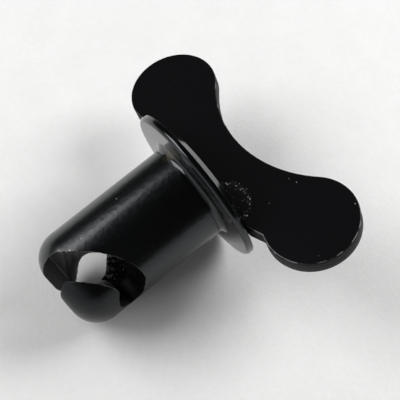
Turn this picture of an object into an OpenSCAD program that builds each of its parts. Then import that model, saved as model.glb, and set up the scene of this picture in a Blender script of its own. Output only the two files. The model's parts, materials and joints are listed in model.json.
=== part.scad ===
// Quarter turn fastener: a wing-head stud for quick-release panels.
// One turned steel stud (shank, flange and low crowned head) with a cam slot milled
// through its tip, and a stamped wing plate seated in a groove across the head.
// Drawn lying as it rests, on its flange rim and its tip, in millimetres, +Z up.

/* [Shank] */
// Diameter of the shank, 7/16 inch
shank_d = 11.1; // [10:0.1:13]
// Length of the shank, from the flange's underside to the tip
shank_len = 18.2; // [17:0.1:24]
// Radius of the rounded tip
tip_r = 3.2; // [1:0.1:4]
// Radius of the fillet between the shank and the flange
root_fillet_r = 0.7; // [0.2:0.1:1.2]

/* [Flange and head] */
// Diameter of the flange
flange_d = 18.7; // [16:0.1:22]
// Thickness of the flange at its rim
flange_t = 0.75; // [0.6:0.05:1.5]
// Radius of the rim's lower edge
rim_r = 0.4; // [0.1:0.05:0.5]
// Diameter of the crowned head on the flange
crown_d = 18; // [14:0.1:18.4]
// Height of the crown above the flange
crown_h = 1.6; // [1:0.1:2.5]
// Width of the sloping shoulder round the crown
shoulder_w = 1.2; // [0.5:0.1:2]
// Height of the shoulder
shoulder_h = 0.65; // [0.3:0.05:0.9]

/* [Cam slot] */
// Width of the slot, which takes a spring wire of 3 mm
slot_w = 3.15; // [2.5:0.05:3.6]
// Quarter turn between the slot's mouth and its seat, in degrees
turn = 90; // [80:1:95]
// Angle of the mouth from the wing's plane, in degrees
mouth_angle = 99; // [0:1:180]
// Width of the mouth, a little wider than the slot to lead the wire in
mouth_w = 3.35; // [3:0.05:4]
// Length of the straight mouth, from the tip to the start of the climb
mouth_len = 1.75; // [0.8:0.05:3]
// Height that the cam climbs from the mouth to the hump
cam_rise = 4.85; // [3:0.05:6]
// Share of the turn at which the hump stands
hump_share = 0.77; // [0.6:0.01:0.85]
// Drop from the hump into the seat
seat_drop = 0.8; // [0.3:0.05:1.2]

/* [Wing] */
// Thickness of the wing plate
wing_t = 1.85; // [1.2:0.05:2.5]
// Radius of each round lobe
lobe_r = 5.1; // [4:0.1:6]
// Distance between the centres of the lobes
lobe_pitch = 24.8; // [20:0.1:30]
// Height of the lobes' centres above the flange's underside
lobe_z = 6.35; // [5:0.05:8]
// Height of the waist's lowest point above the flange's underside
waist_z = 7; // [5:0.05:9]
// Height of the plate's straight foot above the flange's underside
wing_foot_z = 1.05; // [0.85:0.05:1.8]
// Inset of the foot's ends from the rim of the crown
foot_inset = 0.5; // [0.2:0.1:2]
// Distance from a lobe's centre in to the notch where the web leaves it, below
notch_in = 2.05; // [1:0.05:4]
// Sideways offset of the plate from the stud's axis
wing_shift = -0.3; // [-0.6:0.05:0.6]
// Gap between the plate and each wall of its groove
groove_gap = 0.02; // [0:0.01:0.1]

/* [Stake mark] */
// Distance of the stake mark from the stud's axis
stake_x = -5; // [-6:0.1:6]
// Radius of the stake mark's rim
stake_r = 3; // [1:0.1:3.5]
// Depth of the stake mark
stake_depth = 0.1; // [0.05:0.05:0.5]

/* [Rest] */
// Roll of the wing about the stud's axis as it lies, in degrees
roll = 9.5; // [0:0.5:30]

/* [Hidden] */
$fn = 96;

black_oxide = [0.06, 0.06, 0.065];
black_plate = [0.09, 0.09, 0.1];

// Overlap that carries a cutter clear of the face that it opens
cut = 1;

shank_r = shank_d / 2;
flange_r = flange_d / 2;
crown_r = crown_d / 2;

// Sphere of which the crown is a cap, inside the shoulder
cap_r = crown_r - shoulder_w;
cap_h = crown_h - shoulder_h;
cap_ball_r = (cap_r * cap_r + cap_h * cap_h) / (2 * cap_h);
cap_ball_z = flange_t + crown_h - cap_ball_r;

// Cam path, for the centre of the spring wire
cam_start_z = -shank_len + mouth_len;
hump_angle = turn * hump_share;
cam_steps = 15;

// Seam of the turned surfaces, midway between the slot's mouth and the far side's seat
seam_angle = mouth_angle - (180 - turn) / 2;

// Circle of the wing's waist, tangent to both lobes
half_pitch = lobe_pitch / 2;
waist_rise = waist_z - lobe_z;
waist_r = (half_pitch * half_pitch + waist_rise * waist_rise - lobe_r * lobe_r)
    / (2 * (lobe_r - waist_rise));
waist_centre_z = waist_z + waist_r;

// Corners of the web, just inside the lobes where the waist runs into them
web_bite = 0.1;
web_share = (lobe_r - web_bite) / (lobe_r + waist_r);
web_top_x = half_pitch * (1 - web_share);
web_top_z = lobe_z + (waist_centre_z - lobe_z) * web_share;

// Ends of the foot, inside the crown's rim, and the notches on the lobes' circles, with the
// web's corners carried on a little way into the lobes
foot_half = crown_r - foot_inset;
notch_x = half_pitch - notch_in;
notch_z = lobe_z - sqrt(lobe_r * lobe_r - notch_in * notch_in);
web_low_x = notch_x + web_bite * (notch_x - foot_half);
web_low_z = notch_z + web_bite * (notch_z - wing_foot_z);

// Sphere that presses the stake mark
stake_ball_r = (stake_r * stake_r + stake_depth * stake_depth) / (2 * stake_depth);

// Tilt of the stud as it lies on the round of its tip and on the rim of its flange:
// both rounds are circles about the axis, swept by a smaller circle.
tip_ring_r = shank_r - tip_r;
tip_ring_z = -shank_len + tip_r;
rim_ring_r = flange_r - rim_r;
rest_span = rim_r - tip_ring_z;
rest_step = rim_ring_r - tip_ring_r;
tilt = acos((tip_r - rim_r) / sqrt(rest_span * rest_span + rest_step * rest_step))
    - atan2(rest_span, rest_step);

// Height of the flange's centre when the stud lies on tip and rim, and when a lobe lies lowest
lift_on_tip = tip_r + tip_ring_r * cos(tilt) - tip_ring_z * sin(tilt);
lobe_dip = lobe_r * sqrt(pow(sin(tilt), 2) + pow(cos(tilt) * sin(roll), 2));
lift_on_lobe = lobe_dip - lobe_z * sin(tilt)
    + cos(tilt) * ((half_pitch + wing_shift) * sin(roll) + wing_t / 2 * cos(roll));
lift = max(lift_on_tip, lift_on_lobe);

// Offsets that bring the middle of the lying part over the origin
far_x = lobe_z * cos(tilt) + (half_pitch + wing_shift) * sin(roll) * sin(tilt)
    + lobe_r * sqrt(pow(cos(tilt), 2) + pow(sin(roll) * sin(tilt), 2))
    + wing_t / 2 * cos(roll) * sin(tilt);
near_x = tip_ring_z * cos(tilt) - tip_ring_r * sin(tilt) - tip_r;
mid_x = (far_x + near_x) / 2;
mid_y = wing_shift * cos(roll);

// Height of the cam path's centre at an angle past the mouth: a quarter sine up to the
// hump, then half a cosine down into the seat
function cam_z(a) = a <= hump_angle
    ? cam_start_z + cam_rise * sin(90 * a / hump_angle)
    : cam_start_z + cam_rise - seat_drop * (1 - cos(180 * (a - hump_angle) / (turn - hump_angle))) / 2;

// Half section of the turned stud, with the axis at x = 0 and the flange's underside at y = 0
module stud_section() {
    // Shank with its rounded tip
    translate([0, tip_ring_z]) square([shank_r, -tip_ring_z + flange_t / 2]);
    translate([0, -shank_len]) square([tip_ring_r, shank_len]);
    intersection() {
        translate([tip_ring_r, tip_ring_z]) circle(tip_r);
        translate([0, -shank_len]) square([shank_r, tip_r]);
    }
    // Fillet under the flange
    difference() {
        translate([0, -root_fillet_r]) square([shank_r + root_fillet_r, root_fillet_r + flange_t / 2]);
        translate([shank_r + root_fillet_r, -root_fillet_r]) circle(root_fillet_r);
    }
    // Flange with its rounded lower edge
    square([rim_ring_r, flange_t]);
    translate([0, rim_r]) square([flange_r, flange_t - rim_r]);
    intersection() {
        translate([rim_ring_r, rim_r]) circle(rim_r);
        square([flange_r, rim_r]);
    }
    // Crowned head: a sloping shoulder, then a shallow cap
    polygon([
        [0, 0],
        [crown_r, 0],
        [crown_r, flange_t],
        [cap_r, flange_t + shoulder_h],
        [0, flange_t + shoulder_h],
    ]);
    intersection() {
        translate([0, cap_ball_z]) circle(cap_ball_r);
        square([cap_r, flange_t + crown_h]);
    }
}

// Space swept by the wire as the stud turns, cut right through the shank at close steps,
// with the straight mouth below
module cam_slot() {
    cutter_len = shank_d + 2 * cut;
    rotate(mouth_angle)
        translate([-cutter_len / 2, -mouth_w / 2, -shank_len - cut])
            cube([cutter_len, mouth_w, mouth_len + cut]);
    for (a = [0 : turn / cam_steps : turn])
        rotate(mouth_angle + a)
            translate([-cutter_len / 2, 0, cam_z(a)])
                rotate([0, 90, 0])
                    cylinder(d = slot_w, h = cutter_len);
}

// Outline of the wing plate: x across the wing, y up the stud's axis
module wing_outline() {
    for (side = [-1, 1])
        translate([side * half_pitch, lobe_z]) circle(lobe_r);
    // Web between the lobes: a straight foot below, short slopes up to the notches, and the
    // round waist above
    difference() {
        polygon([
            [-half_pitch, lobe_z],
            [-web_low_x, web_low_z],
            [-foot_half, wing_foot_z],
            [foot_half, wing_foot_z],
            [web_low_x, web_low_z],
            [half_pitch, lobe_z],
            [web_top_x, web_top_z],
            [-web_top_x, web_top_z],
        ]);
        translate([0, waist_centre_z]) circle(waist_r, $fn = 2 * $fn);
    }
}

// Plate raised from the outline, centred on the stud's axis plane
module wing_plate(thickness) {
    translate([wing_shift, 0, 0])
        rotate([90, 0, 0])
            linear_extrude(thickness, center = true) children();
}

// Lays a piece down from the stud's own axes to the way it rests
module at_rest() {
    translate([-mid_x, -mid_y, lift])
        rotate([0, 90 - tilt, 0])
            rotate(90 - roll)
                children();
}

module stud() {
    color(black_oxide) at_rest() difference() {
        rotate(seam_angle) rotate_extrude() stud_section();
        cam_slot();
        // Groove across the head, which seats the wing's lower edge
        translate([-flange_r - cut, -wing_t / 2 - groove_gap, wing_foot_z])
            cube([flange_d + 2 * cut, wing_t + 2 * groove_gap, crown_h + flange_t]);
    }
}

module wing() {
    color(black_plate) at_rest() difference() {
        wing_plate(wing_t) wing_outline();
        translate([stake_x, wing_t / 2 - stake_depth + stake_ball_r, wing_foot_z])
            sphere(stake_ball_r);
    }
}

stud();
wing();
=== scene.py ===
"""Looks of the wing-head quarter turn stud: blackened turned steel and a blackened stamped wing."""

import json
import math

import bmesh
import bpy
from mathutils import Matrix, Vector


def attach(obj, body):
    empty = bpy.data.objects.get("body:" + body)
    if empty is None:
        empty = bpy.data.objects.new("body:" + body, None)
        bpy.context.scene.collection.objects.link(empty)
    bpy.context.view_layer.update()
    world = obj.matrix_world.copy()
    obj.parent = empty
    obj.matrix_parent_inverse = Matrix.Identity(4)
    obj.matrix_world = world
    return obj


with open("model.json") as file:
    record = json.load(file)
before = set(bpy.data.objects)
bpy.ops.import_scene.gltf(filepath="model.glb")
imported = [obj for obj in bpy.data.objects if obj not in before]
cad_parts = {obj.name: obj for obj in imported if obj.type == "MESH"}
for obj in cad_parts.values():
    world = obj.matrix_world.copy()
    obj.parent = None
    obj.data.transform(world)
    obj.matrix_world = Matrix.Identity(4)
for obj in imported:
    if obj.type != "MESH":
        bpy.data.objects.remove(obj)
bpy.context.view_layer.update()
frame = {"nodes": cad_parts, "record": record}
scene = bpy.context.scene
MM = 0.001

# Camera: where it stands, the point on the floor that it looks at, its turn about its own
# axis, its lens and sensor in millimetres, and the nearest distance that it sees
CAMERA_PLACE = Vector((-31.7, -43.0, 93.64)) * MM
CAMERA_TARGET = Vector((6.68, 3.02, 0.0)) * MM
CAMERA_TURN = math.radians(2.5)
CAMERA_LENS = 84.0
CAMERA_SENSOR = 36.0
CAMERA_NEAR = 1.0 * MM

# Lamps: azimuth from +X towards +Y and elevation in degrees, width and height in metres, and
# power in watts. All stand equally far from the frame's origin and face a point above it.
LAMPS = {
    "right_panel": (-15, 38, 0.131, 0.131, 0.47),
    "left_panel": (132, 43, 0.195, 0.131, 0.44),
}
LAMP_DISTANCE = 0.25
LAMP_TARGET = Vector((0, 0, 0.006))

# World's strength at the horizon to the left and right, and overhead, in front and behind
SIDE_LIGHT = 1.2
TOP_LIGHT = 0.04
FLOOR_SIZE = 3.0

# The stud's own axes, as in the CAD: z up the stud from the flange's underside, x along the
# wing, y out of the wing's front face
ROLL = 9.5
SHANK_MIDDLE = 7.85 * MM
shank = next(m for m in frame["record"]["mounts"] if m["name"] == "shank")
stud_axis = -Vector(shank["axis"]).normalized()
tilt = math.degrees(math.asin(stud_axis.z))
TO_WORLD = (
    Matrix.Translation(Vector(shank["pos_m"]) + stud_axis * SHANK_MIDDLE)
    @ Matrix.Rotation(math.radians(90 - tilt), 4, "Y")
    @ Matrix.Rotation(math.radians(90 - ROLL), 4, "Z")
)

# From here on lengths, points and ranges are in millimetres on the stud's own axes, unless a
# line says otherwise. A range is a pair of values between which one look fades into another.

# Sizes, as in the CAD
SHANK_R = 5.55
SHANK_LEN = 18.2
TIP_R = 3.2
SLOT_TOP_Z = -9.9
HALF_WING = 1.85 / 2
STAKE = (-5.0, HALF_WING, 1.05)
STAKE_R = 3.0

# Blackened steel: how strongly its shining and its dull share reflect, and their tint
OXIDE_IOR = 1.5
DULL_IOR = 1.2
OXIDE_TINT = (0.91, 0.95, 1.0, 1)
BEVEL_SAMPLES = 6

# Regions of the stud. The slot's walls begin just under the shank's and the tip's surface, and
# the last is how near a sharp edge the slot's worn edges show bare metal and a painted glint.
SLOT_SKIN = (TIP_R - 0.08, TIP_R - 0.03)
SLOT_ROOF = (SLOT_TOP_Z, SLOT_TOP_Z + 0.1)
HEAD = (-1.0, -0.6)
SLOT_MIDDLE = (-13.4, -12.8)
SLOT_MOUTH = (-14.6, -14.2)
TONGUE_X = (-2.2, -1.2)
TONGUE_Z = (-12.6, -11.6)
STUD_GLINT_EDGE_R = 0.09 * MM

# Marks on the stud: the torn place beside the opening, the chips along an edge of the slot
# and the brownish rub at the flange's root, each about a point and fading over a range of
# distances from it, or for the chips' row from the edge
TORN = (-0.2, -1.5, -11.8)
TORN_REACH = (1.8, 2.4)
CHIPS = (0.0, 5.5, -15.0)
CHIPS_REACH = (0.6, 1.0)
CHIPS_WIDTH = (0.12, 0.28)
WORN = (1.4, 5.7, -0.12)
WORN_REACH = (0.6, 1.3)

# Regions of the wing: its sheared walls, their corners, the stake mark, and two lines round the
# walls, each as its place across the thickness, the range of its half width and its strength
WING_WALL = (HALF_WING - 0.03, HALF_WING - 0.01)
WING_CORNER = (HALF_WING - 0.12, HALF_WING - 0.08)
SHEAR_LINES = ((0.55, (0.04, 0.12), 1.0), (-0.25, (0.04, 0.10), 0.6))
MARK_EDGE = (STAKE_R - 0.25, STAKE_R + 0.05)
MARK_RIM = (STAKE_R - 0.8, STAKE_R - 0.2)
MARK_BACK = HALF_WING - 0.3

# Ranges of a noise over which a patchy look sets in, how far a noise bends the lines round the
# wing's walls, and the range of the normal's turn at which a place counts as near an edge
SHREDS_BARE = (0.58, 0.63)
WORN_PATCHES = (0.44, 0.58)
EDGE_GLINT_PATCHES = (0.42, 0.62)
CORNER_GLINT_PATCHES = (0.52, 0.66)
BURR_PATCHES = (0.50, 0.60)
LINE_WAVER = 0.4
EDGE_FACING = (0.90, 0.98)

# The wing's rounded edges: their width in metres and steps, how near points are welded, in
# metres, and the angles under which faces count as flat and over which an edge is sharp
WING_EDGE_R = 0.12 * MM
WING_EDGE_STEPS = 3
WELD_GAP = 0.0005 * MM
FLAT_ANGLE = math.radians(0.2)
SHARP_ANGLE = math.radians(45)

# Roughness: the smooth surface's own, and what each region and pattern adds to what is there
HEAD_ROUGHNESS = 0.09
SHANK_ROUGHER = 0.08
SLOT_ROUGHER = 0.28
TORN_ROUGHER = 0.3
HEAD_MOTTLE_ROUGHER = 0.04
SHANK_MOTTLE_ROUGHER = 0.10
WING_ROUGHNESS = 0.08
WALL_ROUGHER = 0.40
MARK_ROUGHER = 0.2
GRAIN_ROUGHER = 0.05
BURR_ROUGHNESS = 0.45
PAPER_ROUGHNESS = 0.9
PAPER_GLOSS = 0.1

# Relief in the shading: heights in millimetres, the share of the shank's that the head has, how
# strongly the paper's counts, and the share that its fibres have in its colour
GRAIN_HEIGHT = 0.004
MOTTLE_HEIGHT = 0.021
HEAD_RELIEF = 0.05
TORN_HEIGHT = 0.5
WING_GRAIN_HEIGHT = 0.0003
DENT_HEIGHT = 0.06
BURR_HEIGHT = 0.15
PAPER_HEIGHT = 0.05
PAPER_RELIEF = 0.7
PAPER_FIBRE = 0.8

# Radii in metres of the edges rounded in the stud's shading, outside and in the slot
STUD_ROUND = 0.06 * MM
SLOT_ROUND = 0.20 * MM

# How dull the slot's mouth, the tongue and the burr are, where 1 hardly shines, and how bright
# the worn edges and the wing's corners, both with a painted glint, the wing's shear lines and
# the mark's pits are, where 1 is bare
MOUTH_DULL = 0.6
TONGUE_DULL = 0.5
BURR_DULL = 0.5
EDGE_GLINT_BRIGHT = 0.35
CORNER_GLINT_BRIGHT = 0.5
SHEAR_BRIGHT = 0.10
PIT_BRIGHT = 0.2

# Colours, and the two ends where one varies
PAPER = (0.82, 0.82, 0.815), (0.89, 0.89, 0.885)
STUD_SKIN = (0.0004, 0.0005, 0.0006), (0.0010, 0.0012, 0.0014)
SLOT_WALL = (0.0018, 0.0018, 0.0022)
WORN_BROWN = (0.060, 0.055, 0.038)
TORN_GREY = (0.09, 0.09, 0.10)
# Dust specks and chips on the stud, and the painted glint along its worn slot edges
STUD_BARE_AND_GLINT = (0.5, 0.5, 0.48)
WING_SKIN = (0.0034, 0.0034, 0.0040), (0.0046, 0.0046, 0.0052)
# Bare metal of the wing's specks, shear lines and mark, and the painted glint on its worn corners
WING_BARE_AND_GLINT = (0.42, 0.43, 0.44)
BURR_SKIN = (0.002, 0.002, 0.0024), (0.16, 0.16, 0.17)

# Burr: the place of its near face and its thickness, then its outline as x, z and how far the
# point is bent out of the face, first along the torn edge and then back along the root
BURR_Y = -1.60
BURR_T = 0.10
BURR_EDGE = (
    (0.01, -10.93, 0.0), (0.61, -11.36, 0.1), (1.10, -11.74, -0.1), (0.45, -11.60, 0.1),
    (0.80, -11.92, 0.15), (0.22, -11.80, 0.0), (0.60, -12.20, -0.15), (-0.11, -11.98, 0.1),
    (0.15, -12.38, 0.2), (-0.45, -12.25, 0.0), (-0.20, -12.66, -0.1), (-0.80, -12.75, 0.1),
    (-0.70, -13.15, 0.1), (-1.25, -13.15, 0.0),
)
BURR_ROOT = (
    (-1.50, -12.90, 0.0), (-1.20, -12.20, 0.0), (-0.90, -11.60, 0.0), (-0.40, -11.10, 0.0),
)


def look(place, target, turn=0.0):
    """World matrix of something at place that looks at target, turned about its own axis."""
    away = (place - target).to_track_quat("Z", "Y").to_matrix().to_4x4()
    return Matrix.Translation(place) @ away @ Matrix.Rotation(turn, 4, "Z")


def make_camera():
    """The photograph's view: from above, along the left of the stud's tip."""
    data = bpy.data.cameras.new("camera")
    data.lens = CAMERA_LENS
    data.sensor_width = CAMERA_SENSOR
    data.clip_start = CAMERA_NEAR
    camera = bpy.data.objects.new("camera", data)
    camera.matrix_world = look(CAMERA_PLACE, CAMERA_TARGET, CAMERA_TURN)
    scene.collection.objects.link(camera)
    scene.camera = camera


def panel_lamp(name, azimuth, elevation, width, height, power):
    """A soft rectangular lamp aimed at the part."""
    a, e = math.radians(azimuth), math.radians(elevation)
    aim = Vector((math.cos(a) * math.cos(e), math.sin(a) * math.cos(e), math.sin(e)))
    data = bpy.data.lights.new(name, "AREA")
    data.shape = "RECTANGLE"
    data.size = width
    data.size_y = height
    data.energy = power
    lamp = bpy.data.objects.new(name, data)
    lamp.matrix_world = look(aim * LAMP_DISTANCE, LAMP_TARGET)
    scene.collection.objects.link(lamp)


class Nodes:
    """Short calls for building a node tree. A value is a socket, a number or a colour."""

    def __init__(self, tree):
        self.tree = tree

    def add(self, kind, **settings):
        node = self.tree.nodes.new(kind)
        for key, value in settings.items():
            setattr(node, key, value)
        return node

    def join(self, source, target):
        self.tree.links.new(source, target)

    def feed(self, socket, value):
        """Joins a socket to another node's output, or sets it to a plain number or colour."""
        if hasattr(value, "is_output"):
            self.join(value, socket)
        elif hasattr(value, "__len__") and socket.type == "RGBA":
            socket.default_value = (*value, 1)
        else:
            socket.default_value = value

    def math(self, operation, *values, **settings):
        node = self.add("ShaderNodeMath", operation=operation, **settings)
        for socket, value in zip(node.inputs, values):
            self.feed(socket, value)
        return node.outputs[0]

    def chain(self, operation, first, *others):
        """An operation carried on from value to value, from the left."""
        for other in others:
            first = self.math(operation, first, other)
        return first

    def times(self, *values):
        return self.chain("MULTIPLY", *values)

    def plus(self, *values):
        return self.chain("ADD", *values)

    def most(self, *values):
        return self.chain("MAXIMUM", *values)

    def line(self, value, slope, start):
        """Value times slope, plus start."""
        return self.math("MULTIPLY_ADD", value, slope, start)

    def length(self, a, b):
        """Length of a vector whose two parts stand at right angles."""
        return self.math("SQRT", self.plus(self.times(a, a), self.times(b, b)))

    def away(self, value, middle):
        """How far a value is from a middle, to either side."""
        return self.math("ABSOLUTE", self.math("SUBTRACT", value, middle))

    def ramp(self, value, low, high, start=0.0, end=1.0, kind="SMOOTHSTEP"):
        """Value carried from the range low to high onto start to end, and clamped."""
        node = self.add("ShaderNodeMapRange", interpolation_type=kind)
        for key, number in zip(("Value", "From Min", "From Max", "To Min", "To Max"),
                               (value, low, high, start, end)):
            self.feed(node.inputs[key], number)
        return node.outputs["Result"]

    def above(self, value, span):
        """0 below a range and 1 above it."""
        return self.ramp(value, *span)

    def below(self, value, span, full=1.0):
        """Full below a range and 0 above it."""
        return self.ramp(value, *span, full, 0.0)

    def mix(self, share, a, b):
        """Colour a turned into colour b by a share from 0 to 1."""
        node = self.add("ShaderNodeMix", data_type="RGBA")
        sockets = {s.identifier: s for s in node.inputs}
        for key, value in (("Factor_Float", share), ("A_Color", a), ("B_Color", b)):
            self.feed(sockets[key], value)
        return next(s for s in node.outputs if s.identifier == "Result_Color")

    def parts(self, vector):
        """The X, Y and Z of a vector."""
        node = self.add("ShaderNodeSeparateXYZ")
        self.join(vector, node.inputs[0])
        return node.outputs


class MaterialNodes(Nodes):
    """Nodes of a new material. place is the point in millimetres along the stud's own axes."""

    def __init__(self, name):
        self.material = bpy.data.materials.new(name)
        self.material.use_nodes = True
        super().__init__(self.material.node_tree)
        self.tree.nodes.clear()
        to_stud = TO_WORLD.inverted()
        axes = self.add("ShaderNodeMapping")
        axes.inputs["Location"].default_value = to_stud.translation / MM
        axes.inputs["Rotation"].default_value = to_stud.to_euler("XYZ")
        axes.inputs["Scale"].default_value = (1 / MM, 1 / MM, 1 / MM)
        self.join(self.add("ShaderNodeTexCoord").outputs["Object"], axes.inputs["Vector"])
        self.place = axes.outputs["Vector"]

    def noise(self, per_mm, detail, stretch=(1, 1, 1)):
        """Smooth noise from 0 to 1. A stretch over 1 makes it finer along that axis."""
        place = self.add("ShaderNodeVectorMath", operation="MULTIPLY")
        self.join(self.place, place.inputs[0])
        place.inputs[1].default_value = stretch
        node = self.add("ShaderNodeTexNoise")
        node.inputs["Scale"].default_value = per_mm
        node.inputs["Detail"].default_value = detail
        self.join(place.outputs[0], node.inputs["Vector"])
        return node.outputs[0]

    def distance(self, point):
        node = self.add("ShaderNodeVectorMath", operation="DISTANCE")
        self.join(self.place, node.inputs[0])
        node.inputs[1].default_value = point
        return node.outputs["Value"]

    def near(self, point, span):
        """1 near a point and 0 beyond a range of distances."""
        return self.below(self.distance(point), span)

    def dots(self, per_mm, radius, share):
        """Scattered round dots: a share of the cells of a random grid each hold one."""
        cells = self.add("ShaderNodeTexVoronoi")
        cells.inputs["Scale"].default_value = per_mm
        self.join(self.place, cells.inputs["Vector"])
        size = radius * per_mm
        dot = self.below(cells.outputs["Distance"], (0.5 * size, size))
        pick = self.add("ShaderNodeSeparateColor")
        self.join(cells.outputs["Color"], pick.inputs[0])
        return self.times(dot, self.math("GREATER_THAN", pick.outputs[0], 1 - share))

    def rounded(self, radius):
        """Normal of the surface with its edges rounded, by a radius in metres."""
        node = self.add("ShaderNodeBevel")
        node.samples = BEVEL_SAMPLES
        self.feed(node.inputs["Radius"], radius)
        return node.outputs[0]

    def edges(self, radius):
        """Share from 0 to 1 of how near a sharp edge is, within a radius in metres."""
        facing = self.add("ShaderNodeVectorMath", operation="DOT_PRODUCT")
        self.join(self.rounded(radius), facing.inputs[0])
        flat = self.add("ShaderNodeNewGeometry")
        self.join(flat.outputs["True Normal"], facing.inputs[1])
        return self.below(facing.outputs["Value"], EDGE_FACING)

    def bump(self, height, depth, strength=1.0, normal=None):
        """Normal bent by a height, of which 1 stands for a depth in metres."""
        node = self.add("ShaderNodeBump")
        node.inputs["Strength"].default_value = strength
        node.inputs["Distance"].default_value = depth
        self.join(height, node.inputs["Height"])
        if normal is not None:
            self.join(normal, node.inputs["Normal"])
        return node.outputs[0]

    def surface(self, colour, roughness, normal, **settings):
        """Principled shader. Settings are its other sockets' names, with _ for a space."""
        bsdf = self.add("ShaderNodeBsdfPrincipled")
        self.feed(bsdf.inputs["Base Color"], colour)
        self.feed(bsdf.inputs["Roughness"], roughness)
        self.join(normal, bsdf.inputs["Normal"])
        for key, value in settings.items():
            bsdf.inputs[key.replace("_", " ")].default_value = value
        return bsdf.outputs[0]

    def finish(self, shader):
        self.join(shader, self.add("ShaderNodeOutputMaterial").inputs[0])
        return self.material

    def oxide(self, colour, roughness, height, dull, edge_r=None):
        """The finished material of blackened steel: height is in millimetres, dull is the
        share that hardly shines, and edge_r is how far the edges are rounded in the shading,
        in metres."""
        normal = self.bump(height, MM, normal=None if edge_r is None else self.rounded(edge_r))
        blend = self.add("ShaderNodeMixShader")
        self.feed(blend.inputs[0], dull)
        for socket, ior in zip(list(blend.inputs)[1:], (OXIDE_IOR, DULL_IOR)):
            shader = self.surface(colour, roughness, normal, IOR=ior, Specular_Tint=OXIDE_TINT)
            self.join(shader, socket)
        return self.finish(blend.outputs[0])


def set_material(obj, material):
    obj.data.materials.clear()
    obj.data.materials.append(material)


def make_world():
    """A dim room, lighter low down at its left and right."""
    world = bpy.data.worlds.new("world")
    scene.world = world
    world.use_nodes = True
    n = Nodes(world.node_tree)
    x, _, z = n.parts(n.add("ShaderNodeTexCoord").outputs["Generated"])
    low = n.math("SUBTRACT", 1.0, z, use_clamp=True)
    level = n.ramp(n.times(x, x, low), 0.0, 1.0, TOP_LIGHT, SIDE_LIGHT, "LINEAR")
    background = n.tree.nodes["Background"]
    n.join(level, background.inputs["Strength"])
    background.inputs["Color"].default_value = (1, 1, 1, 1)


def paper_material():
    """Pale matt paper, faintly clouded, with a fine grain of fibres."""
    n = MaterialNodes("paper")
    cloud = n.noise(per_mm=0.25, detail=5.0)
    fibre = n.noise(per_mm=1.6, detail=6.0)
    tone = n.line(n.math("SUBTRACT", fibre, 0.5), PAPER_FIBRE, cloud)
    grain = n.bump(n.noise(per_mm=2.5, detail=6.0), PAPER_HEIGHT * MM, PAPER_RELIEF)
    return n.finish(n.surface(n.mix(tone, *PAPER), PAPER_ROUGHNESS, grain,
                              Specular_IOR_Level=PAPER_GLOSS))


def make_floor():
    bpy.ops.mesh.primitive_plane_add(size=FLOOR_SIZE, location=(0, 0, 0))
    floor = bpy.context.object
    floor.name = "floor"
    set_material(floor, paper_material())


def slot_mask(n, x, y, z):
    """1 in the cam slot and 0 on the outside of the shank and its rounded tip."""
    out = n.most(n.math("SUBTRACT", n.length(x, y), SHANK_R - TIP_R), 0.0)
    down = n.most(n.math("SUBTRACT", TIP_R - SHANK_LEN, z), 0.0)
    return n.times(n.below(n.length(out, down), SLOT_SKIN), n.below(z, SLOT_ROOF))


def chips_mask(n, x, z):
    """Bright chips in a row along the slot's slanting edge."""
    off_edge = n.math("ABSOLUTE", n.plus(x, z, -CHIPS[0] - CHIPS[2]))
    return n.times(n.dots(per_mm=3.6, radius=0.13, share=0.8), n.near(CHIPS, CHIPS_REACH),
                   n.below(off_edge, CHIPS_WIDTH))


def stud_material():
    """Turned steel in black oxide: mottled on the shank, smooth on the head, and dull, torn
    and chipped in the milled slot."""
    n = MaterialNodes("stud_steel")
    x, y, z = n.parts(n.place)
    inside = slot_mask(n, x, y, z)
    on_shank = n.math("SUBTRACT", 1.0, n.above(z, HEAD))
    mottle = n.noise(per_mm=2.2, detail=5.0)
    torn = n.times(n.near(TORN, TORN_REACH), inside)
    shreds = n.noise(per_mm=2.4, detail=3.0, stretch=(1.0, 2.6, 1.0))

    skin = n.mix(n.noise(per_mm=0.6, detail=4.0), *STUD_SKIN)
    skin = n.mix(inside, skin, SLOT_WALL)
    patches = n.above(n.noise(per_mm=2.0, detail=3.0, stretch=(0.5, 0.5, 4.0)), WORN_PATCHES)
    skin = n.mix(n.times(n.near(WORN, WORN_REACH), patches), skin, WORN_BROWN)
    skin = n.mix(n.times(torn, n.above(shreds, SHREDS_BARE)), skin, TORN_GREY)
    # Worn slot edges: bare metal, and a painted glint along them
    bare_and_glint = n.times(n.edges(STUD_GLINT_EDGE_R), n.below(z, SLOT_ROOF, EDGE_GLINT_BRIGHT),
                   n.above(n.noise(per_mm=1.1, detail=3.0), EDGE_GLINT_PATCHES))
    specks = n.dots(per_mm=0.8, radius=0.08, share=0.14)
    colour = n.mix(n.most(specks, chips_mask(n, x, z), bare_and_glint), skin, STUD_BARE_AND_GLINT)

    mottle_rougher = n.line(on_shank, SHANK_MOTTLE_ROUGHER, HEAD_MOTTLE_ROUGHER)
    roughness = n.line(mottle, mottle_rougher, n.line(on_shank, SHANK_ROUGHER, HEAD_ROUGHNESS))
    roughness = n.line(inside, SLOT_ROUGHER, n.line(torn, TORN_ROUGHER, roughness))
    grain = n.noise(per_mm=9.0, detail=3.0)
    height = n.plus(n.times(grain, GRAIN_HEIGHT), n.times(mottle, MOTTLE_HEIGHT))
    height = n.times(height, n.line(on_shank, 1 - HEAD_RELIEF, HEAD_RELIEF))
    height = n.line(n.times(torn, shreds), TORN_HEIGHT, height)
    edge_r = n.line(inside, SLOT_ROUND - STUD_ROUND, STUD_ROUND)

    deep = n.times(inside, n.most(n.above(z, SLOT_MIDDLE), n.below(z, SLOT_MOUTH, MOUTH_DULL)))
    tongue = n.times(n.below(x, TONGUE_X, TONGUE_DULL), n.below(z, TONGUE_Z))
    return n.oxide(colour, roughness, height, n.most(deep, torn, tongue), edge_r)


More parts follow.
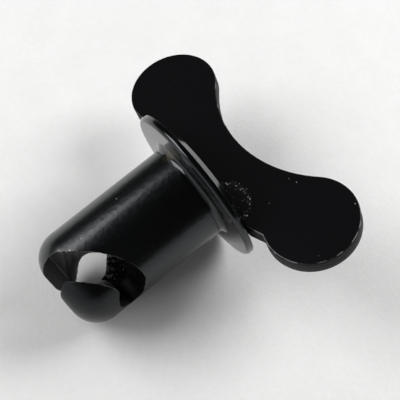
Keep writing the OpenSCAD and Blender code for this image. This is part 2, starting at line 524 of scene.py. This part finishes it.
def wing_material():
    """Stamped plate in black oxide: smooth faces, dull sheared walls and a stake mark."""
    n = MaterialNodes("wing_steel")
    y = n.parts(n.place)["Y"]
    grain = n.noise(per_mm=7.0, detail=3.0)
    off_middle = n.math("ABSOLUTE", y)
    wall = n.below(off_middle, WING_WALL)
    off_mark = n.distance(STAKE)
    mark = n.times(n.below(off_mark, MARK_EDGE), n.math("GREATER_THAN", y, MARK_BACK))

    waver = n.line(n.noise(per_mm=0.5, detail=2.0), LINE_WAVER, y)
    lines = (n.below(n.away(waver, middle), span, full) for middle, span, full in SHEAR_LINES)
    shear = n.times(n.most(*lines), wall, n.noise(per_mm=0.4, detail=3.0))
    # Worn corners of the wing: bare metal, and a painted glint along them
    patches = n.above(n.noise(per_mm=0.7, detail=4.0), CORNER_GLINT_PATCHES)
    corner_wear_and_glint = n.times(n.above(off_middle, WING_CORNER), patches, wall, n.math("SUBTRACT", 1.0, mark))
    specks = n.dots(per_mm=1.1, radius=0.065, share=0.2)
    pits = n.times(n.dots(per_mm=3.6, radius=0.08, share=0.25), mark)
    rim = n.times(mark, n.above(off_mark, MARK_RIM))
    sparks = n.times(n.dots(per_mm=3.3, radius=0.11, share=0.85), rim)
    bright = n.most(specks, sparks, n.times(pits, PIT_BRIGHT))
    bright = n.line(corner_wear_and_glint, CORNER_GLINT_BRIGHT, n.line(shear, SHEAR_BRIGHT, bright))
    skin = n.mix(n.noise(per_mm=0.5, detail=4.0), *WING_SKIN)
    colour = n.mix(bright, skin, WING_BARE_AND_GLINT)

    roughness = n.line(mark, MARK_ROUGHER, n.line(wall, WALL_ROUGHER, WING_ROUGHNESS))
    roughness = n.line(grain, GRAIN_ROUGHER, roughness)
    dents = n.times(n.noise(per_mm=3.0, detail=4.0), n.times(mark, DENT_HEIGHT))
    height = n.plus(n.times(grain, WING_GRAIN_HEIGHT), dents)
    return n.oxide(colour, roughness, height, n.most(wall, mark))


def torn_material():
    """Bare and blackened metal of the burr, in small patches."""
    n = MaterialNodes("torn_steel")
    patch = n.noise(per_mm=3.0, detail=3.0)
    colour = n.mix(n.above(patch, BURR_PATCHES), *BURR_SKIN)
    return n.oxide(colour, BURR_ROUGHNESS, n.times(patch, BURR_HEIGHT), BURR_DULL)


def make_burr():
    """The thin torn fin that the cutter left on the slot's inner edge."""
    outline = BURR_EDGE + BURR_ROOT
    bm = bmesh.new()
    near, far = (
        [bm.verts.new(TO_WORLD @ (Vector((x, y + bend, z)) * MM)) for x, z, bend in outline]
        for y in (BURR_Y, BURR_Y - BURR_T)
    )
    bm.faces.new(near)
    bm.faces.new(far[::-1])
    for i in range(len(outline)):
        j = (i + 1) % len(outline)
        bm.faces.new((near[j], near[i], far[i], far[j]))
    bmesh.ops.triangulate(bm, faces=bm.faces[:])
    bmesh.ops.recalc_face_normals(bm, faces=bm.faces[:])
    mesh = bpy.data.meshes.new("burr")
    bm.to_mesh(mesh)
    bm.free()
    burr = bpy.data.objects.new("burr", mesh)
    scene.collection.objects.link(burr)
    set_material(burr, torn_material())
    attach(burr, "root")


def soften_edges(obj, width, steps):
    """Rounds the node's sharp edges by a width in metres, with modifiers alone: the mesh's
    own points are welded and its flat faces joined first, so that only real edges are left."""
    weld = obj.modifiers.new("weld", "WELD")
    weld.merge_threshold = WELD_GAP
    flatten = obj.modifiers.new("flatten", "DECIMATE")
    flatten.decimate_type = "DISSOLVE"
    flatten.angle_limit = FLAT_ANGLE
    bevel = obj.modifiers.new("bevel", "BEVEL")
    bevel.limit_method = "ANGLE"
    bevel.angle_limit = SHARP_ANGLE
    bevel.width = width
    bevel.segments = steps
    bevel.use_clamp_overlap = False
    bevel.harden_normals = True


make_camera()
make_floor()
for lamp_name, settings in LAMPS.items():
    panel_lamp(lamp_name, *settings)
make_world()

stud = frame["nodes"]["stud"]
wing = frame["nodes"]["wing"]
set_material(stud, stud_material())
set_material(wing, wing_material())
soften_edges(wing, WING_EDGE_R, WING_EDGE_STEPS)
make_burr()

scene.view_settings.view_transform = "Standard"
